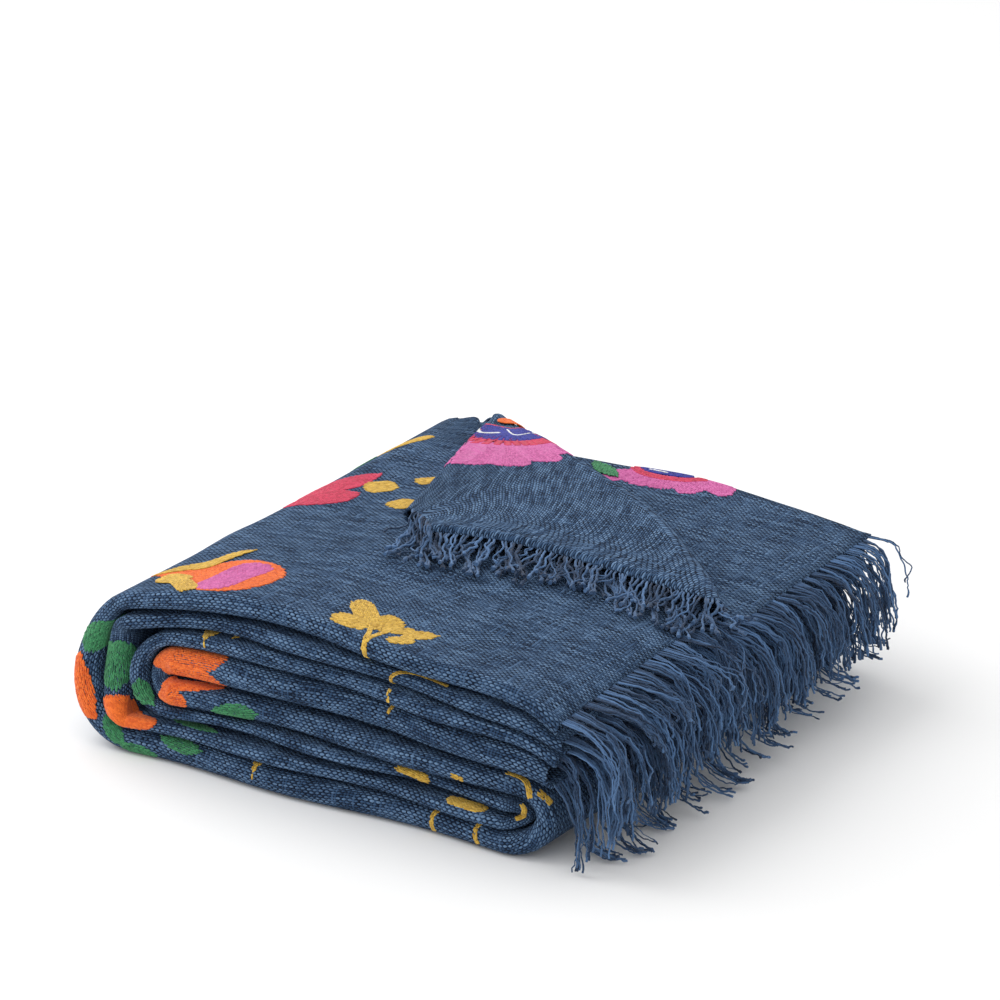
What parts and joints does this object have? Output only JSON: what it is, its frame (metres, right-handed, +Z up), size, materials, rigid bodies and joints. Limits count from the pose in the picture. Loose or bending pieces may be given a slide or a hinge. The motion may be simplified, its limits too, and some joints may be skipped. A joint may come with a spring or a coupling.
{
  "type": "embroidered throw blanket",
  "caption": "Folded woven cotton throw with scattered flower and leaf embroidery, fringed ends and one corner turned back.",
  "frame": {"origin": "middle of the whole throw's footprint, on the surface that it rests on", "axes": "+Z up, +X along the throw's length towards its fringed ends, -Y towards the front, where the rounded folds show"},
  "size_m": [0.449, 0.4298, 0.1459],
  "materials": {
    "cloth": "coarse plain-weave cotton with slubs",
    "fringe": "loose cotton warp yarn",
    "stitching": "wool and cotton crewel stitches in several colours"
  },
  "bodies": {
    "root": {"throw_cloth": "cloth", "fringe_first_a": "fringe", "fringe_first_b": "fringe", "fringe_first_c": "fringe", "fringe_second_a": "fringe", "fringe_second_b": "fringe", "fringe_second_c": "fringe", "fringe_flap_upper": "fringe", "fringe_flap_lower": "fringe"}
  },
  "joints": []
}
